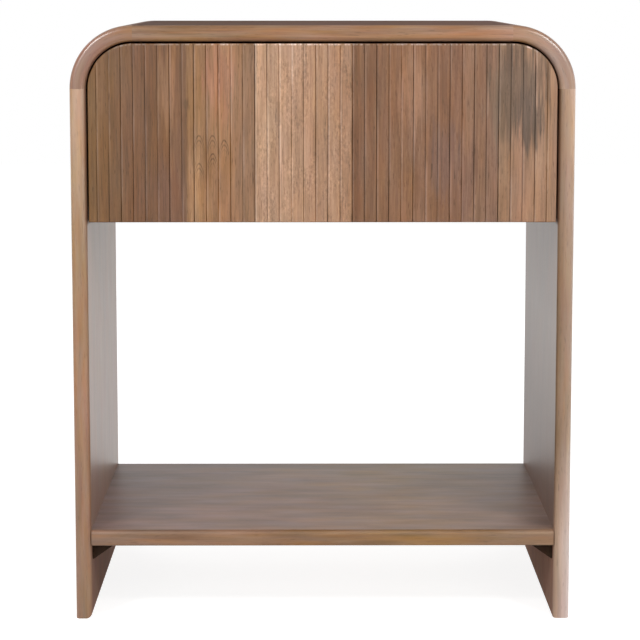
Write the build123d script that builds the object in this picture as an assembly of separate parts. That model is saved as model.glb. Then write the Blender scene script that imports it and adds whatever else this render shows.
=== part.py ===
from build123d import *
import os

# Accent table: a rounded wooden arch, one reeded drawer, an open bay and a lower shelf.
# Millimetres. +X is right as seen from the front, +Y is back, +Z is up.
# The origin is on the floor, under the middle of the table.

# Frame: two side boards, two corner blocks and a top, all of one section
table_width = 560.0
table_depth = 400.0
table_height = 670.0
board = 18.0
corner_radius = 70.0
front_inner_round = 6.0
front_outer_round = 5.0
back_round = 2.0
left_toe_round = 7.0
right_toe_round = 1.5

# Lower shelf and the cleats under it
shelf_thickness = 18.0
shelf_underside = 84.0
shelf_setback = 2.0
shelf_top_round = 5.0
shelf_under_round = 1.5
cleat_width = 27.0
cleat_height = 19.0
cleat_setback = 15.0
cleat_edge_round = 1.0

# Drawer front with its upright reeds
front_height = 198.0
front_thickness = 20.0
front_reveal = 2.0
front_setback = 1.0
front_edge_round = 1.6
reed_pitch = 13.5
first_groove = 9.25
last_reed_least = 4.0
groove_width = 2.0
groove_floor = 0.6
groove_depth = 2.6
reed_crown = 0.5

# Drawer bay: its floor and its back
finger_lip = 18.0
bay_floor_thickness = 15.0
bay_floor_gap = 2.0
back_panel_thickness = 12.0
back_panel_setback = 3.0
back_panel_corner_relief = 0.5

# Drawer box
box_rear_gap = 14.0
box_height = 115.0
box_board = 12.0
box_floor_gap = 6.0
box_edge_round = 2.0
bottom_thickness = 5.0
bottom_rise = 8.0
bottom_groove_depth = 5.0
bottom_play = 0.1
bottom_end_gap = 0.5

# Telescopic slides, one each side: cabinet, middle and drawer members of folded sheet
slide_height = 45.5
slide_thickness = 12.7
slide_setback = 4.0
slide_rise = 45.0
slide_rear_overlap = 10.0
sheet = 1.2
sheet_bend = 1.5
cabinet_flange = 11.0
middle_web = 4.6
middle_flange = 11.4
drawer_flange = 8.0
access_hole = 9.0

# Balls between the members, and the cages that space them
ball_diameter = 3.5
ball_clearance = 0.05
race_depth = 0.4
race_relief = 0.15
outer_ball_row = 7.4
inner_ball_row = 9.9
ball_pitch = 20.0
balls_per_row = 6
cage_length = 120.0
cage_sheet = 0.5
outer_cage_web = 3.7
outer_cage_flange = 9.0
inner_cage_web = 6.4
inner_cage_flange = 11.2

# Dowels
peg_diameter = 8.0
peg_length = 30.0
peg_in_side = 10.0
peg_chamfer = 1.0
peg_fit = 0.05
peg_end_gap = 0.5
frame_peg_count = 4
frame_peg_inset = 50.0
shelf_peg_count = 4
shelf_peg_inset = 48.0
floor_peg_count = 3
floor_peg_inset = 51.0
box_peg_diameter = 6.0
box_peg_length = 25.0
box_peg_in_side = 8.0
lower_peg_rise = 35.0
upper_peg_rise = 90.0

# Screws
screw_diameter = 3.5
head_diameter = 7.0
head_height = 2.0
head_round = 0.8
point_length = 3.0
point_width = 0.6
recess_width = 0.9
recess_span = 3.6
recess_depth = 1.2
screw_fit = 0.05
screw_end_gap = 0.5
head_well_fit = 0.6
cleat_screw = 25.0
cleat_screw_count = 3
cleat_screw_inset = 65.0
cleat_side_shift = 35.0
cleat_up_inset = 9.0
cleat_up_well = 3.0
cleat_side_drop = 6.0
cleat_side_well = 5.0
panel_screw = 30.0
panel_screw_count = 4
panel_screw_inset = 52.0
front_screw = 25.0
front_screw_inset = 87.3
lower_screw_rise = 30.0
upper_screw_rise = 90.0
slide_screw = 10.0
slide_screw_count = 3
slide_screw_inset = 35.0

# Planes and heights that several pieces share
front_y = -table_depth / 2
back_y = table_depth / 2
inner_x = table_width / 2 - board
ceiling = table_height - board
corner_x = table_width / 2 - corner_radius
corner_z = table_height - corner_radius
inner_radius = corner_radius - board
shelf_top = shelf_underside + shelf_thickness
shelf_front = front_y + shelf_setback
shelf_back = back_y - shelf_setback
cleat_front = front_y + cleat_setback
cleat_back = back_y - cleat_setback
front_top = ceiling - front_reveal
front_bottom = front_top - front_height
front_half = inner_x - front_reveal
front_face = front_y + front_setback
front_back = front_face + front_thickness
bay_floor_under = front_bottom + finger_lip
bay_floor_top = bay_floor_under + bay_floor_thickness
bay_floor_front = front_back + bay_floor_gap
back_panel_back = back_y - back_panel_setback
back_panel_front = back_panel_back - back_panel_thickness
box_half = inner_x - slide_thickness
box_inner = box_half - box_board
box_under = bay_floor_top + box_floor_gap
box_top = box_under + box_height
box_back = back_panel_front - box_rear_gap
box_front_inside = front_back + box_board
box_back_inside = box_back - box_board
bottom_under = box_under + bottom_rise
slide_front = front_back + slide_setback
slide_length = box_back - front_back
slide_y = slide_front + slide_length / 2
slide_travel = slide_length - slide_rear_overlap
slide_z = box_under + slide_rise
ball_radius = ball_diameter / 2
screw_radius = screw_diameter / 2
race_radius = ball_radius + race_relief

# Half heights of the slide members, stacked inwards from the cabinet member.
# Two races, less their depth, leave a flat gap that is smaller than the ball.
member_gap = ball_diameter + 2 * ball_clearance - 2 * race_depth
cabinet_half = slide_height / 2
outer_ball_z = cabinet_half - sheet + race_depth - ball_clearance - ball_radius
middle_half = cabinet_half - sheet - member_gap
inner_ball_z = middle_half - sheet + race_depth - ball_clearance - ball_radius
drawer_half = middle_half - sheet - member_gap


def block(x_range, y_range, z_range):
    # A box between two limits along each axis
    size = [high - low for low, high in (x_range, y_range, z_range)]
    middle = [(high + low) / 2 for low, high in (x_range, y_range, z_range)]
    return Pos(*middle) * Box(*size)


def spread(count, low, high, inset):
    # Evenly spaced places along a line, the outer ones an inset from its ends
    step = (high - low - 2 * inset) / (count - 1)
    return [low + inset + i * step for i in range(count)]


def aim(point, direction):
    # A frame at a point whose Z runs along a direction
    return Plane(origin=point, z_dir=direction)


def to_left(piece):
    return mirror(piece, about=Plane.YZ)


def group(pieces):
    return Compound(children=[solid for piece in pieces for solid in piece.solids()])


# Dowels and screws

def peg(diameter, length):
    pin = Cylinder(diameter / 2, length)
    return chamfer(pin.edges().filter_by(GeomType.CIRCLE), peg_chamfer)


def peg_bore(diameter, length):
    return Cylinder(diameter / 2 + peg_fit, length + 2 * peg_end_gap)


def screw(length):
    # The head sits on the origin's plane and the shank points down
    head = Pos(0, 0, head_height / 2) * Cylinder(head_diameter / 2, head_height)
    head = fillet(head.edges().filter_by(GeomType.CIRCLE).sort_by(Axis.Z)[-1], head_round)
    plain = length - point_length
    shank = Pos(0, 0, -plain / 2) * Cylinder(screw_radius, plain)
    tip = Pos(0, 0, -length + point_length / 2) * Cone(point_width / 2, screw_radius, point_length)
    slot = Box(recess_span, recess_width, recess_depth) + Box(recess_width, recess_span, recess_depth)
    return head + shank + tip - Pos(0, 0, head_height - recess_depth / 2) * slot


def screw_bore(length):
    depth = length + screw_end_gap
    return Pos(0, 0, -depth / 2) * Cylinder(screw_radius + screw_fit, depth)


def head_well(depth):
    # A flat-bottomed hole that sinks a screw's head below a sloping face
    return Pos(0, 0, depth / 2) * Cylinder(head_diameter / 2 + head_well_fit, depth)


def at_each(frames, shape):
    return [frame * shape for frame in frames]


# Places of the dowels and screws of the right side, each as a frame

def frame_peg_frames():
    middle = inner_x + board / 2
    places = spread(frame_peg_count, front_y, back_y, frame_peg_inset)
    upright = [aim((middle, y, corner_z), (0, 0, 1)) for y in places]
    level = [aim((corner_x, y, table_height - board / 2), (1, 0, 0)) for y in places]
    return upright + level


def end_peg_frames(z, places):
    x = inner_x + peg_in_side - peg_length / 2
    return [aim((x, y, z), (1, 0, 0)) for y in places]


def shelf_peg_frames():
    places = spread(shelf_peg_count, shelf_front, shelf_back, shelf_peg_inset)
    return end_peg_frames(shelf_underside + shelf_thickness / 2, places)


def floor_peg_frames():
    places = spread(floor_peg_count, bay_floor_front, back_panel_front, floor_peg_inset)
    return end_peg_frames(bay_floor_under + bay_floor_thickness / 2, places)


def box_peg_frames():
    x = box_inner + box_peg_in_side - box_peg_length / 2
    rows = (front_back + box_board / 2, box_back - box_board / 2)
    heights = (box_under + lower_peg_rise, box_under + upper_peg_rise)
    return [aim((x, y, z), (1, 0, 0)) for y in rows for z in heights]


def cleat_up_frames():
    # Screws that rise through the cleat into the shelf
    x = inner_x - cleat_up_inset
    cover = cleat_height * (1 - cleat_up_inset / cleat_width)
    z = shelf_underside - cover + cleat_up_well
    places = spread(cleat_screw_count, cleat_front, cleat_back, cleat_screw_inset)
    return [aim((x, y, z), (0, 0, -1)) for y in places]


def cleat_side_frames():
    # Screws that run level through the cleat into the side board
    z = shelf_underside - cleat_side_drop
    cover = cleat_width * (1 - cleat_side_drop / cleat_height)
    x = inner_x - cover + cleat_side_well
    places = spread(cleat_screw_count, cleat_front, cleat_back, cleat_screw_inset)
    return [aim((x, y + cleat_side_shift, z), (-1, 0, 0)) for y in places]


def panel_screw_frames():
    z = bay_floor_under + bay_floor_thickness / 2
    places = spread(panel_screw_count, -inner_x, inner_x, panel_screw_inset)
    return [aim((x, back_panel_back, z), (0, 1, 0)) for x in places]


def front_screw_frames():
    heights = (box_under + lower_screw_rise, box_under + upper_screw_rise)
    places = spread(2, -box_inner, box_inner, front_screw_inset)
    return [aim((x, box_front_inside, z), (0, 1, 0)) for x in places for z in heights]


def slide_screw_places():
    return spread(slide_screw_count, slide_front, slide_front + slide_length, slide_screw_inset)


def cabinet_screw_frames():
    x = inner_x - sheet
    return [aim((x, y, slide_z), (-1, 0, 0)) for y in slide_screw_places()]


def drawer_screw_frames():
    x = box_half + sheet
    return [aim((x, y, slide_z), (1, 0, 0)) for y in slide_screw_places()]


# Frame

def frame_section():
    # The board's section at the top of the right side, rounded on all four edges
    outer_x = inner_x + board
    section = Pos((inner_x + outer_x) / 2, 0) * Rectangle(board, table_depth)
    rounds = (
        (inner_x, front_y, front_inner_round),
        (outer_x, front_y, front_outer_round),
        (inner_x, back_y, back_round),
        (outer_x, back_y, back_round),
    )
    for x, y, radius in rounds:
        corner = section.vertices().sort_by_distance((x, y, 0))[0]
        section = fillet(corner, radius)
    return section


def side_panel(toe_round):
    panel = extrude(frame_section(), amount=corner_z)
    toe = block((inner_x, inner_x + toe_round), (front_y, back_y), (0, toe_round))
    rounding = aim((inner_x + toe_round, 0, toe_round), (0, 1, 0)) * Cylinder(toe_round, table_depth)
    panel -= toe - rounding
    panel -= at_each(frame_peg_frames(), peg_bore(peg_diameter, peg_length))
    panel -= at_each(shelf_peg_frames(), peg_bore(peg_diameter, peg_length))
    panel -= at_each(floor_peg_frames(), peg_bore(peg_diameter, peg_length))
    panel -= at_each(cleat_side_frames(), screw_bore(cleat_screw))
    panel -= at_each(cabinet_screw_frames(), screw_bore(slide_screw))
    return panel


def corner_block():
    # The side's section swept a quarter turn about the corner's centre
    turn = Axis((corner_x, 0, corner_z), (0, -1, 0))
    section = Pos(0, 0, corner_z) * frame_section()
    bend = revolve(section, axis=turn, revolution_arc=90)
    return bend - at_each(frame_peg_frames(), peg_bore(peg_diameter, peg_length))


def top_board():
    turn = Axis((corner_x, 0, corner_z), (0, -1, 0))
    section = (Pos(0, 0, corner_z) * frame_section()).rotate(turn, 90)
    top = extrude(section, amount=2 * corner_x, dir=(-1, 0, 0))
    bores = at_each(frame_peg_frames(), peg_bore(peg_diameter, peg_length))
    return top - bores - [to_left(bore) for bore in bores]


def shelf():
    plank = block((-inner_x, inner_x), (shelf_front, shelf_back), (shelf_underside, shelf_top))
    long_edges = plank.edges().filter_by(Axis.X).group_by(Axis.Z)
    plank = fillet(long_edges[-1], shelf_top_round)
    long_edges = plank.edges().filter_by(Axis.X).group_by(Axis.Z)
    plank = fillet(long_edges[0], shelf_under_round)
    bores = at_each(shelf_peg_frames(), peg_bore(peg_diameter, peg_length))
    bores += at_each(cleat_up_frames(), screw_bore(cleat_screw))
    return plank - bores - [to_left(bore) for bore in bores]


def cleat():
    # A three-sided strip in the corner between the shelf and the right side board
    corners = (
        (inner_x, shelf_underside),
        (inner_x - cleat_width, shelf_underside),
        (inner_x, shelf_underside - cleat_height),
    )
    section = Plane.XZ * make_face(Polyline(*corners, close=True))
    strip = extrude(section, amount=cleat_back, both=True)
    ends = strip.edges().filter_by(Axis.Y).sort_by(Axis.Z)
    strip = fillet(ends[0], cleat_edge_round)
    strip -= at_each(cleat_up_frames(), screw_bore(cleat_screw))
    strip -= at_each(cleat_up_frames(), head_well(cleat_height))
    strip -= at_each(cleat_side_frames(), screw_bore(cleat_screw))
    strip -= at_each(cleat_side_frames(), head_well(cleat_width))
    return strip


def arch_plate(half_width, low, high, radius, front, thickness):
    # An upright plate with its two top corners rounded
    middle = (low + high) / 2
    face = Pos(0, middle) * Rectangle(2 * half_width, high - low)
    face = fillet(face.vertices().group_by(Axis.Y)[-1], radius)
    return extrude(Pos(0, front) * (Plane.XZ * face), amount=thickness, dir=(0, 1, 0))


def bay_floor():
    limits = (bay_floor_front, back_panel_front)
    plank = block((-inner_x, inner_x), limits, (bay_floor_under, bay_floor_top))
    bores = at_each(floor_peg_frames(), peg_bore(peg_diameter, peg_length))
    plank -= at_each(panel_screw_frames(), screw_bore(panel_screw))
    return plank - bores - [to_left(bore) for bore in bores]


def back_panel():
    radius = inner_radius + back_panel_corner_relief
    panel = arch_plate(
        inner_x, bay_floor_under, ceiling, radius, back_panel_front, back_panel_thickness
    )
    return panel - at_each(panel_screw_frames(), screw_bore(panel_screw))


# Drawer

def reed_profile():
    # The drawer front seen from above: crowned reeds parted by narrow grooves
    lip_y = front_face + reed_crown
    floor_y = front_face + groove_depth
    slope = (groove_width - groove_floor) / 2
    room = 2 * front_half - first_groove - last_reed_least
    count = int(room // reed_pitch) + 1
    centres = [first_groove - front_half + i * reed_pitch for i in range(count)]
    edges = []
    left = -front_half
    for centre in centres:
        a = centre - groove_width / 2
        b = centre + groove_width / 2
        edges.append(ThreePointArc((left, lip_y), ((left + a) / 2, front_face), (a, lip_y)))
        edges.append(Polyline((a, lip_y), (a + slope, floor_y), (b - slope, floor_y), (b, lip_y)))
        left = b
    edges.append(ThreePointArc((left, lip_y), ((left + front_half) / 2, front_face), (front_half, lip_y)))
    rest = ((front_half, lip_y), (front_half, front_back), (-front_half, front_back), (-front_half, lip_y))
    edges.append(Polyline(*rest))
    return make_face(edges)


def drawer_front():
    # The reeds run the full height and the rounded outline trims them
    radius = inner_radius - front_reveal
    outline = arch_plate(front_half, front_bottom, front_top, radius, front_face, front_thickness)
    face = outline.faces().sort_by(Axis.Y)[0]
    outline = fillet(face.edges(), front_edge_round)
    reeds = extrude(Pos(0, 0, front_bottom) * reed_profile(), amount=front_height)
    return (outline & reeds) - at_each(front_screw_frames(), screw_bore(front_screw))


def bottom_slot(x_range, y_range):
    low = bottom_under - bottom_play
    high = bottom_under + bottom_thickness + bottom_play
    return block(x_range, y_range, (low, high))


def drawer_side():
    plank = block((box_inner, box_half), (front_back, box_back), (box_under, box_top))
    top_edges = plank.edges().filter_by(Axis.Y).group_by(Axis.Z)[-1]
    plank = fillet(top_edges, box_edge_round)
    plank -= bottom_slot((box_inner, box_inner + bottom_groove_depth), (front_back, box_back))
    plank -= at_each(box_peg_frames(), peg_bore(box_peg_diameter, box_peg_length))
    return plank - at_each(drawer_screw_frames(), screw_bore(slide_screw))


def box_end(y_range, slot_range):
    # The front or back board that fits between the drawer's sides
    plank = block((-box_inner, box_inner), y_range, (box_under, box_top))
    top_edges = plank.edges().filter_by(Axis.X).group_by(Axis.Z)[-1]
    plank = fillet(top_edges, box_edge_round)
    plank -= bottom_slot((-box_inner, box_inner), slot_range)
    bores = at_each(box_peg_frames(), peg_bore(box_peg_diameter, box_peg_length))
    return plank - bores - [to_left(bore) for bore in bores]


def box_front():
    slot = (box_front_inside - bottom_groove_depth, box_front_inside)
    plank = box_end((front_back, box_front_inside), slot)
    return plank - at_each(front_screw_frames(), screw_bore(front_screw))


def box_rear():
    slot = (box_back_inside, box_back_inside + bottom_groove_depth)
    return box_end((box_back_inside, box_back), slot)


def drawer_bottom():
    reach = bottom_groove_depth - bottom_end_gap
    x = box_inner + reach
    limits = (box_front_inside - reach, box_back_inside + reach)
    return block((-x, x), limits, (bottom_under, bottom_under + bottom_thickness))


# Slides of the right side. Distances u run from the side board's inner face to the middle.

def channel(web_u, edge_u, half_height, wall):
    # A folded strip: an upright web at web_u and two flanges that end at edge_u
    far = web_u + wall if edge_u > web_u else web_u - wall
    outer = [inner_x - web_u, inner_x - edge_u]
    inner = [inner_x - far, inner_x - edge_u]
    length = (slide_y - slide_length / 2, slide_y + slide_length / 2)
    shape = block(sorted(outer), length, (slide_z - half_height, slide_z + half_height))
    bends = shape.edges().filter_by(Axis.Y).sort_by_distance((outer[0], slide_y, slide_z))[:2]
    shape = fillet(bends, sheet_bend)
    hollow = half_height - wall
    return shape - block(sorted(inner), length, (slide_z - hollow, slide_z + hollow))


def race(row_u, height):
    # A ball's track along the slide, above and below the middle
    bar = Cylinder(race_radius, slide_length)
    places = (slide_z + height, slide_z - height)
    return [aim((inner_x - row_u, slide_y, z), (0, 1, 0)) * bar for z in places]


def cabinet_member():
    member = channel(0, cabinet_flange, cabinet_half, sheet)
    member -= race(outer_ball_row, cabinet_half - sheet + race_depth - race_radius)
    return member - at_each(cabinet_screw_frames(), screw_bore(slide_screw))


def middle_member():
    member = channel(middle_web, middle_flange, middle_half, sheet)
    member -= race(outer_ball_row, middle_half - race_depth + race_radius)
    member -= race(inner_ball_row, middle_half - sheet + race_depth - race_radius)
    bore = Cylinder(access_hole / 2, 4 * sheet)
    x = inner_x - middle_web
    return member - [aim((x, y, slide_z), (1, 0, 0)) * bore for y in slide_screw_places()]


def drawer_member():
    member = channel(slide_thickness, drawer_flange, drawer_half, sheet)
    member -= race(inner_ball_row, drawer_half - race_depth + race_radius)
    return member - at_each(drawer_screw_frames(), screw_bore(slide_screw))


def ball_frames(row_u, height):
    first = slide_y - ball_pitch * (balls_per_row - 1) / 2
    places = [first + i * ball_pitch for i in range(balls_per_row)]
    rows = (slide_z + height, slide_z - height)
    return [aim((inner_x - row_u, y, z), (0, 0, 1)) for y in places for z in rows]


def balls(row_u, height):
    return group(at_each(ball_frames(row_u, height), Sphere(ball_radius)))


def cage(web_u, edge_u, row_u, height):
    # A thin channel whose flanges hold the balls at their middles
    half = height + cage_sheet / 2
    length = (slide_y - cage_length / 2, slide_y + cage_length / 2)
    shape = block((inner_x - edge_u, inner_x - web_u), length, (slide_z - half, slide_z + half))
    hollow = half - cage_sheet
    limits = (inner_x - edge_u, inner_x - web_u - cage_sheet)
    shape -= block(limits, length, (slide_z - hollow, slide_z + hollow))
    pocket = Cylinder(ball_radius + ball_clearance, 2 * cage_sheet)
    return shape - at_each(ball_frames(row_u, height), pocket)


# The whole table

def build_frame():
    pegs = at_each(frame_peg_frames(), peg(peg_diameter, peg_length))
    shelf_pegs = at_each(shelf_peg_frames(), peg(peg_diameter, peg_length))
    floor_pegs = at_each(floor_peg_frames(), peg(peg_diameter, peg_length))
    cleat_screws = at_each(cleat_up_frames() + cleat_side_frames(), screw(cleat_screw))
    block_right = corner_block()
    cleat_right = cleat()
    return {
        "left_side_panel": to_left(side_panel(left_toe_round)),
        "right_side_panel": side_panel(right_toe_round),
        "left_corner_block": to_left(block_right),
        "right_corner_block": block_right,
        "top_board": top_board(),
        "lower_shelf": shelf(),
        "left_shelf_cleat": to_left(cleat_right),
        "right_shelf_cleat": cleat_right,
        "drawer_bay_floor": bay_floor(),
        "back_panel": back_panel(),
        "frame_dowels": group(pegs + [to_left(each) for each in pegs]),
        "shelf_dowels": group(shelf_pegs + [to_left(each) for each in shelf_pegs]),
        "bay_floor_dowels": group(floor_pegs + [to_left(each) for each in floor_pegs]),
        "cleat_screws": group(cleat_screws + [to_left(each) for each in cleat_screws]),
        "back_panel_screws": group(at_each(panel_screw_frames(), screw(panel_screw))),
    }


def build_drawer():
    side = drawer_side()
    pegs = at_each(box_peg_frames(), peg(box_peg_diameter, box_peg_length))
    return {
        "drawer_front": drawer_front(),
        "drawer_box_front": box_front(),
        "drawer_left_side": to_left(side),
        "drawer_right_side": side,
        "drawer_box_back": box_rear(),
        "drawer_bottom": drawer_bottom(),
        "drawer_box_dowels": group(pegs + [to_left(each) for each in pegs]),
        "drawer_front_screws": group(at_each(front_screw_frames(), screw(front_screw))),
    }


def build_slides():
    right = {
        "slide_cabinet_member": cabinet_member(),
        "slide_middle_member": middle_member(),
        "slide_drawer_member": drawer_member(),
        "outer_ball_cage": cage(outer_cage_web, outer_cage_flange, outer_ball_row, outer_ball_z),
        "inner_ball_cage": cage(inner_cage_web, inner_cage_flange, inner_ball_row, inner_ball_z),
        "outer_slide_balls": balls(outer_ball_row, outer_ball_z),
        "inner_slide_balls": balls(inner_ball_row, inner_ball_z),
        "cabinet_slide_screws": group(at_each(cabinet_screw_frames(), screw(slide_screw))),
        "drawer_slide_screws": group(at_each(drawer_screw_frames(), screw(slide_screw))),
    }
    pieces = {}
    for name, piece in right.items():
        pieces["right_" + name] = piece
        pieces["left_" + name] = group([to_left(piece)])
    return pieces


os.makedirs("parts", exist_ok=True)
for name, piece in {**build_frame(), **build_drawer(), **build_slides()}.items():
    export_step(piece, "parts/" + name + ".step")
    print(name, round(piece.volume), "mm3")
print("drawer travel", slide_travel, "middle members", slide_travel / 2, "mm")
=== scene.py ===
import bmesh
import bpy
import functools
import math
import random
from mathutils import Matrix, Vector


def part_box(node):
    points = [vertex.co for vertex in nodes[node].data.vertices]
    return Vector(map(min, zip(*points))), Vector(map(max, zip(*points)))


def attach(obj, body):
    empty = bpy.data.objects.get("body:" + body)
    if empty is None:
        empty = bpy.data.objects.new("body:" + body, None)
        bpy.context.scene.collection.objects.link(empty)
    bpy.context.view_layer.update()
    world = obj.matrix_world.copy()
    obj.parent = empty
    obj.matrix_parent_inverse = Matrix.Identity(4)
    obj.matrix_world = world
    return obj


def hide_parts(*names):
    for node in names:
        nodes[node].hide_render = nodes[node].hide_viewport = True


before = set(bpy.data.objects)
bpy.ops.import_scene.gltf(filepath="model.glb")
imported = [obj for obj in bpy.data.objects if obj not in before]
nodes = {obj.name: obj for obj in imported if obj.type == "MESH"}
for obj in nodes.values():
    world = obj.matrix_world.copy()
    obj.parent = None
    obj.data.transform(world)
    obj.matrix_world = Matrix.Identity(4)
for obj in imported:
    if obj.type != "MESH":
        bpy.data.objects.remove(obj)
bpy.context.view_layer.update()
print("frame loaded,", len(nodes), "nodes")


def linearColour(hexCode):
    # sRGB hex to the linear values that a shader reads
    parts = [int(hexCode[i:i + 2], 16) / 255 for i in (0, 2, 4)]
    return [c / 12.92 if c <= 0.04045 else ((c + 0.055) / 1.055) ** 2.4 for c in parts] + [1.0]


def addNode(tree, kind, settings=None, inputs=None):
    # Adds one node with its settings, and its sockets' values or links, by name or in their order
    node = tree.nodes.new("ShaderNode" + kind)
    for name, value in (settings or {}).items():
        if name != "stops":
            setattr(node, name, value)
            continue
        ramp = node.color_ramp
        while len(ramp.elements) < len(value):
            ramp.elements.new(1.0)
        for stop, (place, colour) in zip(ramp.elements, value):
            stop.position = place
            stop.color = linearColour(colour) if isinstance(colour, str) else (*colour, 1.0)
    if not isinstance(inputs, dict):
        inputs = dict(enumerate(inputs or ()))
    for name, value in inputs.items():
        if isinstance(value, bpy.types.Node):
            value = value.outputs[0]
        if isinstance(value, bpy.types.NodeSocket):
            tree.links.new(value, node.inputs[name])
        else:
            node.inputs[name].default_value = value
    return node


# A MapRange node's sockets are in this order: value, from start, to end, low, high
softly = {"interpolation_type": "SMOOTHSTEP"}
unclamped = {"clamp": False}


def newMaterial(name):
    material = bpy.data.materials.new(name)
    material.use_nodes = True
    material.node_tree.nodes.clear()
    return material, functools.partial(addNode, material.node_tree)


def wearFinish(nodeNames, material):
    # Gives CAD nodes their finish through their material slots
    for name in nodeNames:
        piece = nodes[name]
        piece.data.materials.clear()
        piece.data.materials.append(material)


def faces(name, axis):
    # Where a CAD node's box begins and ends along one axis, in millimetres
    return [getattr(corner, axis) * 1000 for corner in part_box(name)]


# Camera at the photograph's place and angle

photoView = {
    "place": (-0.0150, -2.8976, 0.7090),
    "degreesRight": 0.256,
    "degreesDown": 7.736,
    "focalPixels": 2433.5,
    "framePixels": 640,
    "sensorMm": 36.0,
}


def makeCamera(view):
    data = bpy.data.cameras.new("photo_camera")
    data.sensor_width = view["sensorMm"]
    data.lens = view["focalPixels"] / view["framePixels"] * view["sensorMm"]
    camera = bpy.data.objects.new("photo_camera", data)
    camera.location = view["place"]
    camera.rotation_euler = (math.radians(90 - view["degreesDown"]), 0, -math.radians(view["degreesRight"]))
    bpy.context.scene.collection.objects.link(camera)
    bpy.context.scene.camera = camera


makeCamera(photoView)
print("camera in place")

# White studio: soft lamps, a white surround and a white floor that keeps the shadow

studio = {
    "ambient": 0.35,
    "floorTone": "b0b0b0",
    "floorGlow": 0.86,
    "floorSize": 14.0,
    "lampsAim": (0, 0, 0.35),
}
# A lamp lights the wood, shines in it as a highlight, or does both
softboxes = (
    {"name": "left_key", "place": (-1.3, -3.0, 0.9), "size": 1.6, "watts": 20,
     "lights": True, "shines": True},
    {"name": "right_key", "place": (1.3, -3.0, 0.9), "size": 1.6, "watts": 24.5,
     "lights": True, "shines": True},
    {"name": "left_top", "place": (-1.15, -1.75, 1.5), "size": 0.28, "watts": 11.5,
     "lights": True, "shines": False},
    {"name": "right_top", "place": (1.15, -1.75, 1.5), "size": 0.28, "watts": 11.5,
     "lights": True, "shines": False},
    {"name": "left_glint", "place": (-1.15, -1.75, 1.5), "size": 0.5, "watts": 36,
     "lights": False, "shines": True},
    {"name": "right_glint", "place": (1.15, -1.75, 1.5), "size": 0.5, "watts": 36,
     "lights": False, "shines": True},
    {"name": "right_side", "place": (2.2, -0.2, 0.5), "size": 1.0, "watts": 12,
     "lights": True, "shines": True},
    {"name": "left_side", "place": (-2.2, -0.2, 0.5), "size": 1.0, "watts": 12,
     "lights": True, "shines": False},
    {"name": "left_back", "place": (-1.7, 2.6, 1.1), "size": 1.6, "watts": 20,
     "lights": True, "shines": False},
    {"name": "right_back", "place": (1.7, 2.6, 1.1), "size": 1.6, "watts": 20,
     "lights": True, "shines": False},
)


def seenRay(add):
    # 1 for camera, glossy and transmission rays, 0 for the rays that light the object
    rays = add("LightPath").outputs
    seen = add("Math", {"operation": "MAXIMUM"}, (rays["Is Camera Ray"], rays["Is Glossy Ray"]))
    return add("Math", {"operation": "MAXIMUM"}, (seen, rays["Is Transmission Ray"]))


def makeStudio(look):
    world = bpy.data.worlds.new("white_surround")
    world.use_nodes = True
    world.node_tree.nodes.clear()
    add = functools.partial(addNode, world.node_tree)
    strength = add("MapRange", {}, (seenRay(add), 0.0, 1.0, look["ambient"]))
    light = add("Background", {}, {"Color": (1, 1, 1, 1), "Strength": strength})
    add("OutputWorld", {}, {"Surface": light})
    bpy.context.scene.world = world

    bpy.ops.mesh.primitive_plane_add(size=look["floorSize"])
    floor = bpy.context.object
    floor.name = "floor"
    material, add = newMaterial("white_paper_floor")
    paper = add("BsdfDiffuse", {}, {"Color": linearColour(look["floorTone"])})
    lift = add("Math", {"operation": "MULTIPLY"}, (seenRay(add), look["floorGlow"]))
    glow = add("Emission", {}, {"Color": (1, 1, 1, 1), "Strength": lift})
    both = add("AddShader", {}, {0: paper, 1: glow})
    add("OutputMaterial", {}, {"Surface": both})
    floor.data.materials.append(material)


def makeSoftbox(box):
    data = bpy.data.lights.new(box["name"], "AREA")
    data.size = box["size"]
    data.energy = box["watts"]
    lamp = bpy.data.objects.new(box["name"], data)
    lamp.location = box["place"]
    towards = Vector(studio["lampsAim"]) - lamp.location
    lamp.rotation_euler = towards.to_track_quat("-Z", "Y").to_euler()
    lamp.visible_camera = False
    lamp.visible_diffuse = box["lights"]
    lamp.visible_glossy = box["shines"]
    bpy.context.scene.collection.objects.link(lamp)


makeStudio(studio)
for box in softboxes:
    makeSoftbox(box)
bpy.context.scene.view_settings.view_transform = "Standard"
print("studio lit")

# Woods. Every place and size in these is in millimetres, along the board's own grain.

quarter = math.pi / 2
turnOf = {"X": (0, -quarter, 0), "Y": (quarter, 0, 0), "Z": (0, 0, 0)}
toMillimetres = (1000,) * 3


def boardPlace(add, look):
    # Object coordinates in millimetres, turned so that the grain runs along Z
    place = add("TexCoord").outputs["Object"]
    if "bendCentre" not in look:
        return add("Mapping", {}, {"Vector": place, "Rotation": turnOf[look["grain"]],
                                   "Scale": toMillimetres})
    # round a bent corner the grain follows the arc: across is the radius, along is the arc's length
    x, z = look["bendCentre"]
    turned = add("Mapping", {}, {"Vector": place, "Location": (-x, 0, -z),
                                 "Scale": (1000 * look["side"], 1000, 1000)})
    parts = add("SeparateXYZ", {}, {"Vector": turned})
    flat = add("CombineXYZ", {}, {"X": parts.outputs["X"], "Z": parts.outputs["Z"]})
    radius = add("VectorMath", {"operation": "LENGTH"}, {0: flat}).outputs["Value"]
    angle = add("Math", {"operation": "ARCTAN2"}, (parts.outputs["Z"], parts.outputs["X"]))
    along = add("Math", {"operation": "MULTIPLY"}, (angle, look["bendRadius"]))
    return add("CombineXYZ", {}, {"X": radius, "Y": parts.outputs["Y"], "Z": along})


def grainNoise(add, place, size, seed, detail=2.0):
    # Noise whose patches are so many millimetres across the face, deep and along the grain
    sized = add("Mapping", {}, {"Vector": place, "Scale": tuple(1 / length for length in size)})
    return add("TexNoise", {"noise_dimensions": "4D"}, {"Vector": sized, "W": seed, "Scale": 1.0,
                                                        "Detail": detail})


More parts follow.
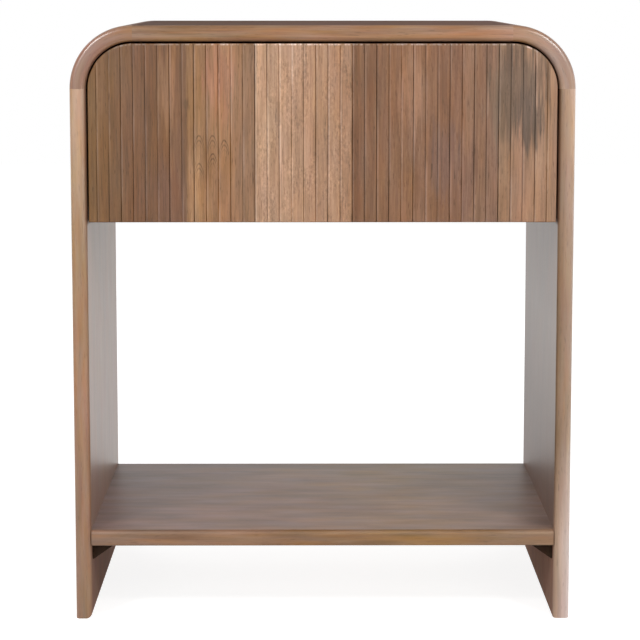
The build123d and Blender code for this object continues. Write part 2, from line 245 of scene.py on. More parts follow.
def zoneMask(add, limits):
    # 1 inside a zone of the object, in millimetres, with a soft edge from the first value to the second
    place = add("Mapping", {}, {"Vector": add("TexCoord").outputs["Object"], "Scale": toMillimetres})
    parts = add("SeparateXYZ", {}, {"Vector": place})
    sideways = add("Math", {"operation": "ABSOLUTE"}, (parts.outputs["X"],))
    mask = 1.0
    for axis, outside, inside in limits:
        part = sideways if axis == "X" else parts.outputs[axis]
        edge = add("MapRange", {}, (part, outside, inside))
        mask = add("Math", {"operation": "MULTIPLY"}, (mask, edge))
    return mask


# How the grain of every wood here is drawn: each layer's detail and softness, then the other parts
grainShape = {
    "wanderSize": (60, 60, 220),
    "ringPower": 3.0,
    "layers": {"broad": (2.0, 0.16), "streak": (3.0, 0.14), "fibre": (2.0, 0.2)},
    "poreEdge": (0.66, 0.78),
    "poreDull": 0.2,
    "tintEdge": (0.3, 0.7),
    "glossSpread": 0.04,
    "bump": 0.5,
}


def growthRings(add, look, wavy, seed):
    # Rings round a pith beside the board: 0 after a ring's start, 1 at its dark end
    along = add("SeparateXYZ", {}, {"Vector": wavy}).outputs["Z"]
    fromPith = add("Mapping", {}, {"Vector": wavy, "Location": (*look["pith"], 0), "Scale": (1, 1, 0)})
    radius = add("VectorMath", {"operation": "LENGTH"}, {0: fromPith}).outputs["Value"]
    tilted = add("Math", {"operation": "MULTIPLY_ADD"}, (along, look["ringTilt"], radius))
    rough = grainNoise(add, wavy, look["ringWobble"][:3], seed)
    uneven = add("Math", {"operation": "MULTIPLY_ADD"}, (rough, look["ringWobble"][3], tilted))
    turns = add("Math", {"operation": "DIVIDE"}, (uneven, look["ringWidth"]))
    phase = add("Math", {"operation": "FRACT"}, (turns,))
    return add("Math", {"operation": "POWER"}, (phase, grainShape["ringPower"]))


def tintedTone(add, look, wavy, seed, tone, gain):
    # The tone drifts in hue and depth of colour, and the grain lightens or darkens it
    tint = grainNoise(add, wavy, look["tint"][:3], seed)
    drift = add("SeparateColor", {}, {"Color": tint.outputs["Color"]})
    hueShift, depthShift = look["tint"][3:]
    reach = grainShape["tintEdge"]
    hue = add("MapRange", {}, (drift.outputs["Red"], *reach, 0.5 - hueShift, 0.5 + hueShift))
    depth = add("MapRange", {}, (drift.outputs["Green"], *reach, 1 - depthShift, 1 + depthShift))
    return add("HueSaturation", {}, {"Color": tone, "Hue": hue, "Saturation": depth, "Value": gain})


def finishWood(material, add, look, place, tone, seed, ringGain, extra=None):
    # Grain on a base tone: broad streaks, growth rings, fibres and open pores, then gloss and relief
    wander = grainNoise(add, place, grainShape["wanderSize"], seed)
    centred = add("VectorMath", {"operation": "SUBTRACT"}, {0: wander.outputs["Color"], 1: (0.5, 0.5, 0.5)})
    wavy = add("VectorMath", {"operation": "MULTIPLY_ADD"}, {0: centred, 1: (look["wander"],) * 3, 2: place})

    gain = 1 - look["broad"][3] - look["streak"][3] - look["fibre"][3]
    layers = {}
    for layer, (detail, soft) in grainShape["layers"].items():
        raw = grainNoise(add, wavy, look[layer][:3], seed, detail)
        layers[layer] = add("MapRange", softly, (raw, 0.5 - soft, 0.5 + soft))
        gain = add("Math", {"operation": "MULTIPLY_ADD"}, (layers[layer], 2 * look[layer][3], gain))
    poreNoise = grainNoise(add, wavy, look["pore"][:3], seed, 0.0)
    pore = add("MapRange", {}, (poreNoise, *grainShape["poreEdge"]))
    rings = growthRings(add, look, wavy, seed)
    ringDark = add("Math", {"operation": "MULTIPLY"}, (rings, ringGain))
    gain = add("Math", {"operation": "SUBTRACT"}, (gain, ringDark))
    gain = add("Math", {"operation": "MULTIPLY_ADD"}, (pore, -look["pore"][3], gain))
    if extra:
        gain = add("Math", {"operation": "ADD"}, (gain, extra))

    colour = tintedTone(add, look, wavy, seed, tone, gain)
    smooth = look["roughness"] - grainShape["glossSpread"]
    dull = look["roughness"] + grainShape["glossSpread"]
    gloss = add("MapRange", {}, (layers["streak"], 0.0, 1.0, smooth, dull))
    gloss = add("Math", {"operation": "MULTIPLY_ADD"}, (pore, grainShape["poreDull"], gloss))
    for zone in look["zones"]:
        mask = zoneMask(add, zone["within"])
        colour = add("MixRGB", {"blend_type": "MULTIPLY"}, {"Fac": mask, "Color1": colour,
                                                            "Color2": linearColour(zone["tone"])})
        gloss = add("MapRange", {}, (mask, 0.0, 1.0, gloss, zone["roughness"]))
    height = add("Math", {"operation": "SUBTRACT"}, (layers["fibre"], pore))
    relief = add("Bump", {}, {"Height": height, "Strength": grainShape["bump"],
                              "Distance": look["relief"] / 1000})
    surface = add("BsdfPrincipled", {}, {"Base Color": colour, "Roughness": gloss, "IOR": look["ior"],
                                         "Specular IOR Level": look["shine"], "Normal": relief})
    add("OutputMaterial", {}, {"Surface": surface})
    return material


# Planed mango wood under a satin oil: open brown pores, soft streaks and a low sheen on the flats
framePlank = {
    "grain": "Z",
    "length": (0, 600),
    "wander": 10,
    "pith": (60, 90),
    "ringTilt": 0.02,
    "ringWobble": (12, 30, 160, 8),
    "ringWidth": 9.0,
    "ringDark": 0.08,
    "broad": (10, 40, 150, 0.07),
    "streak": (4, 16, 70, 0.07),
    "fibre": (1.3, 1.6, 30, 0.03),
    "pore": (0.9, 1.6, 9, 0.20),
    "tint": (6, 30, 50, 0.009, 0.14),
    "roughness": 0.36,
    "relief": 0.06,
    "ior": 1.5,
    "shine": 0.5,
    "zones": (),
}


def plankWood(name, **changes):
    look = {**framePlank, **changes}
    material, add = newMaterial(name)
    place = boardPlace(add, look)
    along = add("SeparateXYZ", {}, {"Vector": place}).outputs["Z"]
    share = add("MapRange", {}, (along, *look["length"]))
    tone = add("ValToRGB", {"stops": look["tones"]}, {"Fac": share}).outputs["Color"]
    return finishWood(material, add, look, place, tone, look["seed"], look["ringDark"])


# Faces of the frame that its zones of tone are measured from
frameFront, frameBack = faces("left_side_panel", "y")
frameSide = faces("right_side_panel", "x")[1]
innerSide = faces("lower_shelf", "x")[1]
shelfUnder, shelfFace = faces("lower_shelf", "z")
topUnder, topFace = faces("top_board", "z")
drawerFoot = faces("drawer_front", "z")[0]
boardThick = topFace - topUnder
cornerRadius = 70
cornerReach = frameSide - cornerRadius

# Inside, the sides are painted greyer, as sheen; beside and behind the drawer and below the shelf they are
# painted dark, as shade, and dull
insideX = ("X", innerSide + 3, innerSide + 0.6)
insideY = ("Y", frameFront + 1, frameFront + 8)
aboveShelf = ("Z", shelfUnder, shelfUnder + 4)
innerSheenPainted = {
    "within": (insideX, insideY, aboveShelf, ("Z", drawerFoot + 6, drawerFoot)),
    "tone": "dcd6da",
    "roughness": 0.36,
}
# Painted shade on the inside face behind the drawer front, seen through the gap
drawerSideShadePainted = {
    "within": (("X", innerSide + 4, innerSide + 1.5), ("Y", frameFront + 14, frameFront + 22),
               ("Z", drawerFoot, drawerFoot + 6)),
    "tone": "8c7060",
    "roughness": 0.9,
}
# Painted shade on the inside faces beside the drawer, from its foot up
drawerGapShadePainted = {
    "within": (("X", innerSide + 3, innerSide + 1), ("Z", drawerFoot - 4, drawerFoot + 4)),
    "tone": "c8b4a4",
    "roughness": 1.0,
}
# Painted shade, dull, on the inside faces below the shelf
shadeBelowShelf = {
    "within": (insideX, insideY, ("Z", shelfUnder + 4, shelfUnder - 2)),
    "tone": "c8aa9a",
    "roughness": 0.9,
}
# Painted shade on the inside face, darkening down to the shelf
shelfShadePainted = {
    "within": (insideX, insideY, ("Z", shelfFace + 228, shelfFace + 28), aboveShelf),
    "tone": "b4a094",
    "roughness": 0.45,
}
leftTones = ((0.0, "8c6a50"), (0.35, "946f56"), (0.75, "9a7856"), (1.0, "ad8c71"))
wearFinish(["left_side_panel"], plankWood("mango_satin_left_side", tones=leftTones, seed=1.3,
                                          zones=(innerSheenPainted, drawerGapShadePainted, drawerSideShadePainted, shadeBelowShelf)))

# The right board's foot is only pale along its front edge
rightTones = ((0.0, "d5beb8"), (0.15, "d5beb5"), (0.35, "a0846e"), (0.6, "987c67"), (0.85, "ab8b74"),
              (1.0, "b2917a"))
paleFoot = ("Z", shelfUnder + 131, shelfUnder + 1)
paleEdge = {"within": (("X", frameSide - 2, innerSide + 4),), "tone": "cdbfa8", "roughness": 0.36}
lowSide = {
    "within": (("X", frameSide - 10, frameSide - 4), ("Y", frameFront + 2, frameFront + 10),
               ("Y", frameBack - 4, frameBack - 10), paleFoot),
    "tone": "beb19d",
    "roughness": 0.36,
}
lowBack = {"within": (("Y", frameBack - 10, frameBack - 4), paleFoot), "tone": "beb19d", "roughness": 0.4}
rightZones = (paleEdge, lowSide, lowBack, innerSheenPainted, shelfShadePainted, drawerGapShadePainted, drawerSideShadePainted, shadeBelowShelf)
wearFinish(["right_side_panel"],
           plankWood("mango_satin_right_side", tones=rightTones, seed=2.7, zones=rightZones))

# Mango wood again, but the top's upper face is painted darker, as shade, and made dull. Its two ends take on
# some of the corner blocks' tone, so the joints stay quiet.
topShadePainted = {
    "within": (("Y", frameFront + 2, frameFront + 7), ("Z", topFace - 20, topFace - 1)),
    "tone": "aaa2ac",
    "roughness": 1.0,
}
# Painted shade on the top's underside, behind its front edge
ceilingShadePainted = {
    "within": (("Y", frameFront + 4, frameFront + 10), ("Z", topUnder + 4, topUnder + 1)),
    "tone": "806454",
    "roughness": 0.9,
}
topTones = ((0.0, "8a6a55"), (0.1, "8b6849"), (0.5, "977257"), (0.9, "9b7456"), (1.0, "a5826c"))
wearFinish(["top_board"], plankWood("mango_top_painted_shade", grain="X", length=(-cornerReach, cornerReach),
                                    tones=topTones, streak=(3, 11, 130, 0.12), fibre=(1.3, 1.6, 40, 0.07),
                                    tint=(5, 30, 60, 0.007, 0.14), shine=0.2, seed=4.1,
                                    zones=(topShadePainted, ceilingShadePainted)))

# The corner blocks are darker along their front edge; their upper faces and the inside of the arch are
# painted dark, as shade, and dull
cornerFront = {"within": (("Y", frameFront + 8, frameFront + 2),), "tone": "dadada", "roughness": 0.28}
archShadePainted = {
    "within": (("Y", frameFront + 10, frameFront + 18), ("X", frameSide - 2, innerSide + 4),
               ("Z", topUnder + 8, topUnder - 4)),
    "tone": "806454",
    "roughness": 0.9,
}
bend = {
    "bendCentre": (cornerReach, topFace - cornerRadius),
    "bendRadius": cornerRadius - boardThick / 2,
    "length": (0, 96),
    "pith": (-90, 60),
    "roughness": 0.28,
    "zones": (topShadePainted, cornerFront, archShadePainted),
}
leftBend = {**bend, "side": -1, "seed": 5.2,
            "tones": ((0.0, "a0785e"), (0.5, "a77c68"), (0.8, "a87d60"), (1.0, "a87d5a"))}
rightBend = {**bend, "side": 1, "seed": 6.6,
             "tones": ((0.0, "b89278"), (0.4, "af8e7e"), (0.8, "b28869"), (1.0, "b58560"))}
wearFinish(["left_corner_block"], plankWood("mango_satin_left_corner", **leftBend))
wearFinish(["right_corner_block"], plankWood("mango_satin_right_corner", **rightBend))

# The shelf's upper face is painted greyer towards the back, as sheen, and its front edge is a little darker
upperFace = ("Z", shelfFace - 4, shelfFace - 1)
shelfTopSheenPainted = {
    "within": (("Y", frameFront + 1, frameFront + 12), upperFace),
    "tone": "dddeff",
    "roughness": 0.44,
}
shelfBackSheenPainted = {
    "within": (("Y", frameFront + 100, frameBack - 2), upperFace),
    "tone": "e0f2f9",
    "roughness": 0.44,
}
shelfEdge = {"within": (("Y", frameFront + 12, frameFront + 3),), "tone": "dfe0e6", "roughness": 0.4}
shelfLook = {
    "grain": "X",
    "length": (-innerSide, innerSide),
    "tones": ((0.0, "99765c"), (0.4, "9b7452"), (0.7, "a0784a"), (1.0, "997658")),
    "streak": (6, 13, 80, 0.09),
    "broad": (14, 34, 110, 0.15),
    "fibre": (1.3, 1.6, 40, 0.05),
    "ringDark": 0.03,
    "ringWidth": 14.0,
    "tint": (5, 25, 60, 0.004, 0.1),
    "shine": 0.35,
    "seed": 7.9,
    "zones": (shelfTopSheenPainted, shelfBackSheenPainted, shelfEdge),
}
wearFinish(["lower_shelf"], plankWood("mango_satin_shelf", **shelfLook))

# Sawn mango strips, left without oil so rough and dull; their tone is painted very dark, as the shade under
# the shelf
cleatShadedLook = {
    "grain": "Y",
    "length": (-185, 185),
    "tones": ((0.0, "35251b"), (1.0, "3f2c20")),
    "roughness": 0.85,
    "shine": 0.1,
    "seed": 8.4,
}
wearFinish(["left_shelf_cleat", "right_shelf_cleat"], plankWood("mango_cleat_painted_shade", **cleatShadedLook))
print("frame woods done")

# Drawer front: glued boards with upright reeds. Places are millimetres across the front.

reeds = {
    "pitch": 13.5,
    "firstGroove": 9.25,
    "lastReed": 4.0,
    "grooveWidth": (0.6, 1.3),
    "grooveDepth": (0.6, 1.9),
    "leftShoulder": (0.8, 0.10),
    "rightShoulder": (1.8, 0.25),
    "wallSlope": (0.1, 0.3),
    "crown": 0.12,
    "arcSteps": 24,
    "rimRound": 1.6,
    "rimSteps": 4,
    "spare": 2.0,
    "smoothAngle": 25,
    "seed": 7,
}
# Places closer than this, in metres, are the same
touching = 1e-5
frontLow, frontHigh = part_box("drawer_front")
frontEdges = (frontLow.x * 1000, frontHigh.x * 1000)
archRadius = 0.050  # the front's rounded top corners, in metres


def addBlock(name, low, high):
    # A cube primitive between two corners, with its place in its mesh
    bpy.ops.object.select_all(action="DESELECT")
    low, high = Vector(low), Vector(high)
    bpy.ops.mesh.primitive_cube_add(size=1, location=(low + high) / 2)
    piece = bpy.context.object
    piece.name = name
    piece.scale = high - low
    bpy.ops.object.transform_apply(location=True, rotation=True, scale=True)
    return piece


def pickVertices(piece, test):
    bpy.ops.mesh.select_all(action="DESELECT")
    mesh = bmesh.from_edit_mesh(piece.data)
    for vertex in mesh.verts:
        vertex.select = test(vertex.co)
    mesh.select_flush(True)
    bmesh.update_edit_mesh(piece.data)


def pickEdges(piece, test):
    bpy.ops.mesh.select_all(action="DESELECT")
    mesh = bmesh.from_edit_mesh(piece.data)
    for edge in mesh.edges:
        if test(edge.verts[0].co, edge.verts[1].co):
            edge.select = True
    bmesh.update_edit_mesh(piece.data)


def archPlate(name, low, high):
    # A plate with its two top corners rounded to the arch and a soft rim in front
    plate = addBlock(name, low, high)
    bpy.ops.object.mode_set(mode="EDIT")
    pickEdges(plate, lambda a, b: abs(a.y - b.y) > touching and a.z > high.z - touching)
    bpy.ops.mesh.bevel(offset=archRadius, segments=reeds["arcSteps"], affect="EDGES")
    pickEdges(plate, lambda a, b: max(a.y, b.y) < low.y + touching)
    bpy.ops.mesh.bevel(offset=reeds["rimRound"] / 1000, segments=reeds["rimSteps"], affect="EDGES")
    bpy.ops.object.mode_set(mode="OBJECT")
    return plate


def reedProfile():
    # Places across the front where its face turns, each with how far it lies behind the reeds' crests
    chance = random.Random(reeds["seed"])
    left, right = reeds["leftShoulder"], reeds["rightShoulder"]
    profile = []
    centre = frontEdges[0] + reeds["firstGroove"]
    while centre < frontEdges[1] - reeds["lastReed"]:
        half = chance.uniform(*reeds["grooveWidth"]) / 2
        depth = chance.uniform(*reeds["grooveDepth"])
        profile += [
            (centre - half - left[0], reeds["crown"]),
            (centre - half, reeds["crown"] + left[1]),
            (centre - half + reeds["wallSlope"][0], depth),
            (centre + half - reeds["wallSlope"][1], depth),
            (centre + half, reeds["crown"] + right[1]),
            (centre + half + right[0], reeds["crown"]),
        ]
        centre += reeds["pitch"]
        if centre < frontEdges[1]:
            profile.append((centre - reeds["pitch"] / 2, 0.0))
    return [(across / 1000, inward / 1000) for across, inward in profile]


def reededFront():
    spare = Vector((reeds["spare"] / 1000, 0, reeds["spare"] / 1000))
    slab = addBlock("reeded_drawer_front", frontLow - spare, frontHigh + spare)
    bpy.ops.object.mode_set(mode="EDIT")
    profile = reedProfile()
    for x, inward in profile:
        bpy.ops.mesh.select_all(action="SELECT")
        bpy.ops.mesh.bisect(plane_co=(x, 0, 0), plane_no=(1, 0, 0))
    for x, inward in profile:
        pickVertices(slab, lambda v: v.y < frontLow.y + touching and abs(v.x - x) < touching)
        bpy.ops.transform.translate(value=(0, inward, 0))
    bpy.ops.object.mode_set(mode="OBJECT")
    plate = archPlate("front_plate", frontLow, frontHigh)
    trim = slab.modifiers.new("trim", "BOOLEAN")
    trim.operation = "INTERSECT"
    trim.solver = "EXACT"
    trim.object = plate
    bpy.context.view_layer.objects.active = slab
    bpy.ops.object.modifier_apply(modifier=trim.name)
    bpy.data.objects.remove(plate)
    bpy.ops.object.select_all(action="DESELECT")
    slab.select_set(True)
    bpy.ops.object.shade_smooth_by_angle(angle=math.radians(reeds["smoothAngle"]))
    even = slab.modifiers.new("even_shading", "WEIGHTED_NORMAL")
    even.keep_sharp = True
    bpy.ops.object.modifier_apply(modifier=even.name)
    return slab


# Where a tone or a trait changes sharply, the boards are glued
frontBoards = (
    {"name": "dark heartwood", "to": -150.5, "tones": ("755638", "6b4b34", "77563d"),
     "rings": 0.05, "flecks": 0.02},
    {"name": "arched grain", "to": -74.4, "tones": ("886545", "956f52", "8c6b51"),
     "rings": 0.10, "flecks": 0.03},
    {"name": "pale flecked", "to": 32.8, "tones": ("ac8a70", "a7846b", "a07b60"),
     "rings": 0.04, "flecks": 0.16},
    {"name": "brown streaked", "to": 157.6, "tones": ("76563f", "825e45", "7d5a44"),
     "rings": 0.06, "flecks": 0.05},
    {"name": "plain brown", "to": 194.3, "tones": ("83624d", "7e5e48", "81624f"),
     "rings": 0.08, "flecks": 0.04},
    {"name": "tan streaked", "to": 245.4, "tones": ("8f7058", "9d7860", "9a7860"),
     "rings": 0.08, "flecks": 0.04},
    {"name": "tan edge", "to": 260.0, "tones": ("98765e", "98765b", "94725c"),
     "rings": 0.05, "flecks": 0.0},
)
# Patches of another tone: place across and up, half width and height, tone, strength
frontPatches = (
    {"name": "grey stain", "at": (214, 600), "size": (31, 60), "tone": "6b5645", "strength": 0.95},
    {"name": "grey heart", "at": (231, 566), "size": (15, 36), "tone": "604f43", "strength": 0.85},
    {"name": "grey start", "at": (192, 580), "size": (9, 40), "tone": "79624f", "strength": 0.7},
    {"name": "dark end", "at": (206, 634), "size": (5, 24), "tone": "5f4a3b", "strength": 0.7},
    {"name": "small knot", "at": (-153, 584), "size": (5, 7), "tone": "57422c", "strength": 0.8},
    {"name": "dark edge", "at": (-154, 550), "size": (5, 150), "tone": "664932", "strength": 0.7},
    {"name": "pale sap", "at": (-172, 604), "size": (10, 50), "tone": "8d694d", "strength": 0.65},
    {"name": "violet foot", "at": (-170, 480), "size": (24, 44), "tone": "6d4e3e", "strength": 0.5},
    {"name": "orange middle", "at": (-112, 612), "size": (18, 38), "tone": "a4735a", "strength": 0.6},
    {"name": "olive edge", "at": (-84, 610), "size": (8, 70), "tone": "886850", "strength": 0.5},
    {"name": "yellow foot", "at": (-143, 478), "size": (9, 50), "tone": "a98362", "strength": 0.6},
    {"name": "dark glue side", "at": (37, 560), "size": (6, 130), "tone": "6c4a33", "strength": 0.7},
    {"name": "dark vein", "at": (54, 560), "size": (3, 90), "tone": "6c4a33", "strength": 0.5},
    {"name": "warm streak", "at": (100, 600), "size": (14, 60), "tone": "9a735a", "strength": 0.6},
    {"name": "violet streak", "at": (136, 522), "size": (16, 40), "tone": "755a4d", "strength": 0.7},
    {"name": "brown streak", "at": (160, 490), "size": (8, 44), "tone": "79594a", "strength": 0.5},
)
# Nested arches in the arched board: place across and up of each top
archTops = ((-137, 551), (-122, 551), (-109, 546), (-122, 531), (-137, 520))
archShape = {
    "spacing": 5.4,
    "sharpness": 0.42,
    "deep": 16.0,
    "halfWidth": 6.6,
    "uneven": 2.5,
    "line": (0.2, 0.42),
    "start": 0.8,
    "fullDepth": 0.4,
    "fullWidth": 0.6,
    "dark": 0.42,
}
# How the front is worn, with its painted highlights. Lengths are in millimetres, the rest are shares.
reedWear = {
    "glueWander": 2.4,
    "patchRagged": 2.4,
    "patchEdge": (2.55, 1.65),
    "reedTone": (0.92, 1.03),
    "lip": (2.6, 1.6),
    "wornSize": (13, 13, 70),
    "rubbedAndLitWhere": (0.38, 0.62),
    "rubbedAndLit": (0.03, 0.30),
    "stainDepth": (0.25, 0.7),
    "stainWhere": (0.36, 0.6),
    "stain": (0.7, 0.25),
    "sparedRim": (1.0, 2.4),
    "sparedStain": 0.35,
    "endHighlightWhere": (0.42, 0.6),
    "endHighlightGain": 0.9,
    "endHighlightRim": (2.4, 1.4),
    "endHighlightHeight": (636, 646),
    "endHighlightDepth": (1.3, 0.7),
    "colourDepth": 1.05,
    "colourShift": 0.6,
}
fleckShape = {
    "size": (1.8, 1.8, 3.6),
    "spread": (0.34, 0.66),
    "patchSize": (14, 14, 40),
    "patchEdge": (0.42, 0.58),
    "patchGain": (0.25, 1.1),
}
# Starts of the noises, and how a board's own start is kept as a colour
noiseSeeds = {"glue": 17.0, "ragged": 20.0, "worn": 31.0, "flecks": 44.0}
boardSeed = {"step": 0.13, "reach": 40.0, "start": 3.0}


def boardStops(low, high):
    # Tones blend along a board and change sharply at its glue line
    stops = []
    left = low
    for board in frontBoards:
        tones = board["tones"]
        for i, tone in enumerate(tones):
            inset = 0.001 if i == 0 else -0.001 if i == len(tones) - 1 else 0
            place = (left + (board["to"] - left) * i / (len(tones) - 1) - low) / (high - low) + inset
            stops.append((min(max(place, 0), 1), tone))
        left = board["to"]
    return stops


def boardTraits(low, high):
    # For each board its own seed, ring strength and fleck strength
    stops = []
    left = low
    for i, board in enumerate(frontBoards):
        stops.append(((left - low) / (high - low), (boardSeed["step"] * i, board["rings"], board["flecks"])))
        left = board["to"]
    return stops


def ovalAway(add, place, at, size):
    # How far a point of the front lies from the middle of an oval, 1 on its edge
    oval = add("Mapping", {}, {"Vector": place, "Location": (-at[0] / size[0], 0, -at[1] / size[1]),
                               "Scale": (1 / size[0], 0, 1 / size[1])})
    return add("VectorMath", {"operation": "LENGTH"}, {0: oval}).outputs["Value"]


def archLines(add, place, ragged):
    # Nested arches where the cut meets the growth rings, faint and broken
    parts = add("SeparateXYZ", {}, {"Vector": place})
    deep, uneven = archShape["deep"], archShape["uneven"]
    wide = archShape["halfWidth"] ** 2
    total = 0.0
    for across, up in archTops:
        offset = add("Math", {"operation": "SUBTRACT"}, (parts.outputs["X"], across))
        bow = add("Math", {"operation": "MULTIPLY"}, (offset, offset))
        level = add("Math", {"operation": "MULTIPLY_ADD"}, (bow, archShape["sharpness"], parts.outputs["Z"]))
        level = add("Math", {"operation": "MULTIPLY_ADD"}, (ragged, uneven, level))
        below = add("Math", {"operation": "SUBTRACT"}, (up + uneven / 2, level))
        turns = add("Math", {"operation": "DIVIDE"}, (below, archShape["spacing"]))
        wave = add("Math", {"operation": "PINGPONG"}, (turns, 0.5))
        shown = add("MapRange", softly, (wave, *archShape["line"]))
        for value, outside, inside in ((below, 0.0, archShape["start"]),
                                       (below, deep, archShape["fullDepth"] * deep),
                                       (bow, wide, archShape["fullWidth"] * wide)):
            near = add("MapRange", {}, (value, outside, inside))
            shown = add("Math", {"operation": "MULTIPLY"}, (shown, near))
        total = add("Math", {"operation": "MAXIMUM"}, (total, shown))
    return total


def rimDistance(add, parts):
    # How far a point of the front lies inside its rounded outline, in millimetres
    radius = archRadius * 1000
    sideways = add("Math", {"operation": "ABSOLUTE"}, (parts.outputs["X"],))
    past = {}
    for axis, value, straight in (("X", sideways, frontEdges[1] - radius),
                                  ("Z", parts.outputs["Z"], frontHigh.z * 1000 - radius)):
        over = add("Math", {"operation": "SUBTRACT"}, (value, straight))
        past[axis] = add("Math", {"operation": "MAXIMUM"}, (over, 0.0))
    reach = add("VectorMath", {"operation": "LENGTH"}, {0: add("CombineXYZ", {}, past)}).outputs["Value"]
    return add("Math", {"operation": "SUBTRACT"}, (radius, reach))


def patchedTone(add, place, parts, ragged):
    # The boards' tones with patches of other tones over them, and each board's own traits
    low, high = frontEdges
    wander = reedWear["glueWander"]
    glueLine = grainNoise(add, place, (400, 400, 16), noiseSeeds["glue"])
    glued = add("Math", {"operation": "MULTIPLY_ADD"}, (glueLine, wander, parts.outputs["X"]))
    share = add("MapRange", {}, (glued, low + wander / 2, high + wander / 2))
    tone = add("ValToRGB", {"stops": boardStops(low, high)}, {"Fac": share})
    traits = add("ValToRGB", {"stops": boardTraits(low, high)}, {"Fac": share})
    traits.color_ramp.interpolation = "CONSTANT"
    for patch in frontPatches:
        away = ovalAway(add, place, patch["at"], patch["size"])
        edge = add("Math", {"operation": "MULTIPLY_ADD"}, (ragged, reedWear["patchRagged"], away))
        mask = add("MapRange", softly, (edge, *reedWear["patchEdge"], 0.0, patch["strength"]))
        tone = add("MixRGB", {}, {"Fac": mask, "Color1": tone, "Color2": linearColour(patch["tone"])})
    return tone, add("SeparateColor", {}, {"Color": traits})


def wornShade(add, place, parts, ragged):
    # Each reed is a little lighter or darker, and its left lip is paler in places: rubbed, with a painted
    # highlight
    first = frontEdges[0] + reeds["firstGroove"]
    reedPlace = add("MapRange", unclamped, (parts.outputs["X"], first, first + reeds["pitch"]))
    reedNumber = add("Math", {"operation": "FLOOR"}, (reedPlace,))
    chance = add("TexWhiteNoise", {"noise_dimensions": "1D"}, {"W": reedNumber})
    reedTone = add("MapRange", {}, (chance.outputs["Value"], 0.0, 1.0, *reedWear["reedTone"]))
    across = add("Math", {"operation": "FRACT"}, (reedPlace,))
    lip = add("MapRange", softly, (across, *(width / reeds["pitch"] for width in reedWear["lip"])))
    worn = grainNoise(add, place, reedWear["wornSize"], noiseSeeds["worn"])
    rubbingAndLight = add("MapRange", {}, (worn, *reedWear["rubbedAndLitWhere"], *reedWear["rubbedAndLit"]))
    rubbedAndLit = add("Math", {"operation": "MULTIPLY_ADD"}, (lip, rubbingAndLight, reedTone))

    # stain lies in the grooves, more here and less there; the reeds' upper ends have a painted highlight
    crest = frontLow.y * 1000
    rim = rimDistance(add, parts)
    stainEdge = [crest + depth for depth in reedWear["stainDepth"]]
    inward = add("MapRange", softly, (parts.outputs["Y"], *stainEdge))
    stained = add("MapRange", {}, (worn, *reedWear["stainWhere"], *reedWear["stain"]))
    stain = add("Math", {"operation": "MULTIPLY"}, (inward, stained))
    spared = add("MapRange", {}, (rim, *reedWear["sparedRim"], reedWear["sparedStain"]))
    stain = add("Math", {"operation": "MULTIPLY"}, (stain, spared))
    endHighlight = add("MapRange", {}, (ragged, *reedWear["endHighlightWhere"], 0.0, reedWear["endHighlightGain"]))
    for value, start, edges in ((rim, 0, reedWear["endHighlightRim"]),
                                (parts.outputs["Z"], 0, reedWear["endHighlightHeight"]),
                                (parts.outputs["Y"], crest, reedWear["endHighlightDepth"])):
        near = add("MapRange", {}, (value, *(start + edge for edge in edges)))
        endHighlight = add("Math", {"operation": "MULTIPLY"}, (endHighlight, near))
    lighter = add("Math", {"operation": "ADD"}, (rubbedAndLit, endHighlight))
    shade = add("Math", {"operation": "SUBTRACT"}, (lighter, stain))

    # stained wood is deeper in colour, and the rubbed lips with their painted highlight and the ends'
    # painted highlight paler
    shift = reedWear["colourShift"]
    depth = add("Math", {"operation": "MULTIPLY_ADD"}, (stain, shift, reedWear["colourDepth"]))
    paler = add("Math", {"operation": "SUBTRACT"}, (lighter, reedTone))
    depth = add("Math", {"operation": "MULTIPLY_ADD"}, (paler, -shift, depth))
    return shade, depth


def flecksAndArches(add, place, ragged, seed, strength):
    # Dark and pale flecks in patches, and the arches
    spots = grainNoise(add, place, fleckShape["size"], seed, 1.0)
    signed = add("MapRange", unclamped, (spots, *fleckShape["spread"], -1.0))
    clusters = grainNoise(add, place, fleckShape["patchSize"], noiseSeeds["flecks"])
    dense = add("MapRange", softly, (clusters, *fleckShape["patchEdge"], *fleckShape["patchGain"]))
    dotted = add("Math", {"operation": "MULTIPLY"}, (signed, dense))
    arches = archLines(add, place, ragged)
    arches = add("Math", {"operation": "MULTIPLY"}, (arches, -archShape["dark"]))
    return add("Math", {"operation": "MULTIPLY_ADD"}, (dotted, strength, arches))


def reedWood():
    # Glued mango boards of mixed tone, oiled, with stain gathered in the grooves, lips rubbed pale with a
    # painted highlight, and a painted highlight on the reeds' upper ends
    look = {**framePlank, "pith": (0, 400), "ringTilt": 0.03, "ringWobble": (16, 16, 50, 2.2),
            "ringWidth": 1.1, "broad": (9, 9, 90, 0.09), "streak": (2.4, 2.4, 60, 0.11),
            "fibre": (1.0, 1.0, 24, 0.08), "pore": (0.9, 1.2, 9, 0.28), "tint": (12, 12, 60, 0.003, 0.06),
            "wander": 5, "roughness": 0.5, "shine": 0.25}
    material, add = newMaterial("mango_satin_reeds")
    place = boardPlace(add, look)
    parts = add("SeparateXYZ", {}, {"Vector": place})
    ragged = grainNoise(add, place, (2.6, 2.6, 40), noiseSeeds["ragged"], 3.0)
    tone, traits = patchedTone(add, place, parts, ragged)
    board, rings, flecks = [traits.outputs[name] for name in ("Red", "Green", "Blue")]
    seed = add("Math", {"operation": "MULTIPLY_ADD"}, (board, boardSeed["reach"], boardSeed["start"]))
    shade, depth = wornShade(add, place, parts, ragged)
    shaded = add("HueSaturation", {}, {"Color": tone, "Saturation": depth, "Value": shade})
    extra = flecksAndArches(add, place, ragged, seed, flecks)
    return finishWood(material, add, look, place, shaded, seed, rings, extra)


